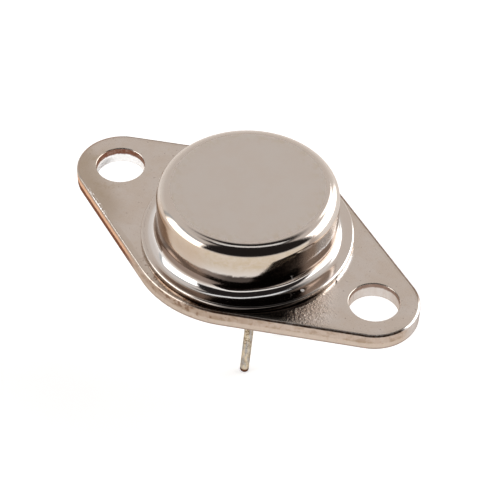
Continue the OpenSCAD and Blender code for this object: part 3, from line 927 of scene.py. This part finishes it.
def turned_metal(name, bright, dull, roughness):
    """Metal with lathe rings about the can's axis and soft tarnish."""
    material, graph, point = new_material(name)
    x, y, _ = graph.parts(point)
    centre = (CAP_CENTRE[0], CAP_CENTRE[1], 0)
    radius = graph.vector("DISTANCE", graph.level(x, y), centre)
    rings = graph.math("SINE", graph.product(radius, 70.0))
    tarnish_and_shade = graph.noise(point, 1.4, 5, 0.6)
    colour = graph.mix(graph.ease(tarnish_and_shade, 0.4, 0.65), bright, dull)
    height = graph.total(graph.product(rings, 0.3), tarnish_and_shade)
    finish_material(graph, Base_Color=colour, Metallic=1.0,
                    Roughness=graph.total(roughness, graph.product(tarnish_and_shade, 0.15)),
                    Normal=graph.bump(height, 0.000004, 0.8))
    return material


def cast_metal(name, bright, dull, roughness):
    """Metal that has run and frozen: grains and a rippled skin."""
    material, graph, point = new_material(name)
    cells = graph.cells(point, 5.0)
    skin = graph.noise(point, 3.0, 4, 0.6)
    grain = graph.parts(cells["Color"])[0]
    tone = graph.total(graph.product(grain, 0.5), graph.product(skin, 0.5))
    height = graph.total(graph.product(cells["Distance"], 0.6), skin)
    finish_material(graph, Base_Color=graph.mix(tone, bright, dull), Metallic=1.0,
                    Roughness=graph.total(roughness, graph.product(grain, 0.2)),
                    Normal=graph.bump(height, 0.00001, 0.8))
    return material


def silicon():
    """Metallised silicon: blue-grey, faintly clouded, with fine crystal lines."""
    material, graph, point = new_material("metallised silicon")
    lines = graph.noise(graph.vector("MULTIPLY", point, (30, 0.8, 1)), 1.0, 2)
    clouds = graph.noise(point, 1.1, 3)
    colour = graph.mix(graph.ease(clouds, 0.35, 0.65), (0.30, 0.33, 0.38), (0.38, 0.38, 0.40))
    finish_material(graph, Base_Color=colour, Metallic=0.8,
                    Roughness=graph.total(0.12, graph.product(lines, 0.15)),
                    Normal=graph.bump(lines, 0.000002, 0.6))
    return material


def varnish():
    """Milky silicone varnish with small bubbles and a soft skin."""
    material, graph, point = new_material("junction varnish")
    clouds = graph.noise(point, 1.8, 4, 0.6)
    bubbles = graph.cells(point, 6.0)["Distance"]
    colour = graph.mix(graph.ease(clouds, 0.35, 0.65), (0.66, 0.60, 0.48), (0.74, 0.70, 0.60))
    height = graph.total(graph.product(graph.ease(bubbles, 0.18, 0.06), 0.5), clouds)
    finish_material(graph, Base_Color=colour,
                    Roughness=graph.total(0.3, graph.product(clouds, 0.2)),
                    Subsurface_Weight=0.3, Subsurface_Scale=0.0004, Coat_Weight=0.3,
                    Coat_Roughness=0.2, Normal=graph.bump(height, 0.00002, 0.7))
    return material


def rolled_sheet():
    """Tinned strip with rolling lines along X and a few duller clouds."""
    material, graph, point = new_material("tinned strip")
    lines = graph.noise(graph.vector("MULTIPLY", point, (0.8, 24, 24)), 1.0, 3)
    clouds = graph.noise(point, 2.0, 4)
    colour = graph.mix(graph.ease(clouds, 0.4, 0.65), (0.66, 0.64, 0.60), (0.52, 0.50, 0.46))
    height = graph.total(graph.product(lines, 0.5), clouds)
    finish_material(graph, Base_Color=colour, Metallic=1.0,
                    Roughness=graph.total(0.2, graph.product(lines, 0.2)),
                    Normal=graph.bump(height, 0.000004, 0.8))
    return material


METALS = {
    "plated_base": plated_base(),
    "plated_cap": plated_cap(),
    "lead_wire": lead_metal(),
    "seal_glass": seal_glass(),
    "copper": turned_metal("turned copper", (0.72, 0.39, 0.26), (0.42, 0.20, 0.13), 0.22),
    "braze": cast_metal("copper-silver braze", (0.78, 0.66, 0.44), (0.56, 0.42, 0.25), 0.25),
    "solder": cast_metal("lead-tin solder", (0.56, 0.57, 0.58), (0.38, 0.38, 0.39), 0.28),
    "molybdenum": turned_metal("lapped molybdenum", (0.50, 0.50, 0.52), (0.40, 0.39, 0.40), 0.3),
    "silicon": silicon(),
    "varnish": varnish(),
    "clip_metal": rolled_sheet(),
}

build_base_plate()
build_cap()
for which in ("cathode", "gate"):
    build_seal(which)
    build_lead(which)

SLOTS = {part["node"]: part["material_slot"] for part in frame["record"]["subparts"]}
for name, node in frame["nodes"].items():
    node.data.materials.clear()
    node.data.materials.append(METALS[SLOTS[name]])

# ---------------------------------------------------------------- camera

CAMERA_PLACE = Vector((69.583, -94.760, 118.842))
CAMERA_TARGET = Vector((1.598, -1.320, 1.417))
CAMERA_ROLL = math.radians(1.164)
CAMERA_LENS = 155.69

camera_data = bpy.data.cameras.new("camera")
camera_data.lens = CAMERA_LENS
camera_data.sensor_width = 36
camera_data.clip_start = 0.01
camera = bpy.data.objects.new("camera", camera_data)
bpy.context.scene.collection.objects.link(camera)
aim = (CAMERA_TARGET - CAMERA_PLACE).to_track_quat("-Z", "Y").to_matrix().to_4x4()
camera.matrix_world = (Matrix.Translation(CAMERA_PLACE * MM) @ aim
                       @ Matrix.Rotation(CAMERA_ROLL, 4, "Z"))
bpy.context.scene.camera = camera
bpy.context.scene.view_settings.view_transform = "Standard"

# ---------------------------------------------------------------- studio

# Directions in the studio are counted from the photographer's side: the azimuth grows to
# the right and the elevation upwards, in degrees
AZIMUTH = math.atan2(CAMERA_PLACE[0], -CAMERA_PLACE[1])
TOWARD = (math.sin(AZIMUTH), -math.cos(AZIMUTH), 0)
RIGHT = (math.cos(AZIMUTH), math.sin(AZIMUTH), 0)
DARK_ROOM = (0.020, 0.017, 0.017)
BACKDROP = (0.79, 0.746, 0.718)
HORIZON = (1.0, 0.98, 0.96)
SOFTBOX = (3.2, 3.2, 3.2)
STRIP = (1.0, 1.03, 1.06)
STAND = (0.56, 0.60, 0.63)
PAPER = (0.7, 0.7, 0.7)
PAPER_GLOW = 0.6

# What stands in the studio, as (from, to, softness) in azimuth and in elevation
LEFT_SOFTBOX = ((-104, -53, 8), (-8, 35, 7))
RIGHT_SOFTBOX = ((80, 140, 8), (-12, 41, 8))
RAISED_SOFTBOX = ((134, 150, 6), (30, 49, 6))
STAND_POST = ((-113, -104, 4), (3, 38, 5))
STAND_ARM = ((-100, -62, 5), (38, 46, 5))


def build_world():
    """White for the camera. Metal and glass see the studio: a pale backdrop and horizon,
    its softboxes and their stand, a narrow strip overhead, and a dark room beyond."""
    world = bpy.data.worlds.new("studio")
    bpy.context.scene.world = world
    world.use_nodes = True
    graph = Graph(world.node_tree)
    direction = graph.node("ShaderNodeTexCoord").outputs["Generated"]
    front = graph.vector("DOT_PRODUCT", direction, TOWARD)
    side = graph.vector("DOT_PRODUCT", direction, RIGHT)
    up = graph.parts(direction)[2]
    azimuth = graph.degrees(side, front)
    elevation = graph.product(graph.math("ARCSINE", up), TO_DEGREES)
    over = graph.degrees(front, up)

    def patch(across, upwards):
        return graph.product(graph.window(azimuth, *across), graph.window(elevation, *upwards))

    dark_front = graph.product(graph.window(azimuth, -55, 77, 13), graph.ease(elevation, 3, 14))
    ceiling = graph.ease(elevation, 55, 68)
    gap = graph.product(graph.window(azimuth, -138, -92, 14), graph.ease(elevation, 80, 72), 0.8)
    ceiling = graph.product(ceiling, graph.math("SUBTRACT", 1.0, gap))
    dark = graph.largest(dark_front, ceiling)
    pale = graph.mix(graph.ease(elevation, 35, 0), BACKDROP, HORIZON)
    stand = graph.largest(patch(*STAND_POST), patch(*STAND_ARM))
    pale = graph.mix(stand, pale, STAND)
    light = graph.mix(dark, pale, DARK_ROOM)
    boxes = graph.largest(patch(*LEFT_SOFTBOX), patch(*RIGHT_SOFTBOX), patch(*RAISED_SOFTBOX))
    light = graph.mix(boxes, light, SOFTBOX)
    strip = graph.product(graph.window(over, -7, 4.5, 4), graph.window(side, -0.3, 0.35, 0.1))
    light = graph.mix(strip, light, STRIP)
    path = graph.node("ShaderNodeLightPath").outputs
    light = graph.mix(path["Is Camera Ray"], light, (1, 1, 1))
    background = graph.node("ShaderNodeBackground", {"Color": light})
    graph.node("ShaderNodeOutputWorld", {"Surface": background.outputs[0]})


def build_floor():
    """White paper under the leads' tips, with a soft shadow. Unseen from below."""
    reach = 1.5
    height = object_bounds()[0][2]
    mesh = bpy.data.meshes.new("floor")
    mesh.from_pydata([(x * reach, y * reach, height) for x, y in
                      ((-1, -1), (1, -1), (1, 1), (-1, 1))], [], [(0, 1, 2, 3)])
    floor = bpy.data.objects.new("floor", mesh)
    bpy.context.scene.collection.objects.link(floor)
    material, graph, point = new_material("white paper")
    grain = graph.noise(point, 2.0, 4)
    paper = graph.node("ShaderNodeBsdfDiffuse", {
        "Color": PAPER, "Normal": graph.bump(grain, 0.00002, 0.3)})
    path = graph.node("ShaderNodeLightPath").outputs
    seen = graph.largest(path["Is Camera Ray"], path["Is Glossy Ray"], path["Is Transmission Ray"])
    glow = graph.node("ShaderNodeEmission", {"Color": (1, 1, 1),
                                             "Strength": graph.product(seen, PAPER_GLOW)})
    lit = graph.node("ShaderNodeAddShader", {0: paper.outputs[0], 1: glow.outputs[0]})
    clear = graph.node("ShaderNodeBsdfTransparent")
    below = graph.node("ShaderNodeNewGeometry").outputs["Backfacing"]
    surface = graph.node("ShaderNodeMixShader", {0: below, 1: lit.outputs[0], 2: clear.outputs[0]})
    graph.node("ShaderNodeOutputMaterial", {"Surface": surface.outputs[0]})
    mesh.materials.append(material)


build_world()
build_floor()
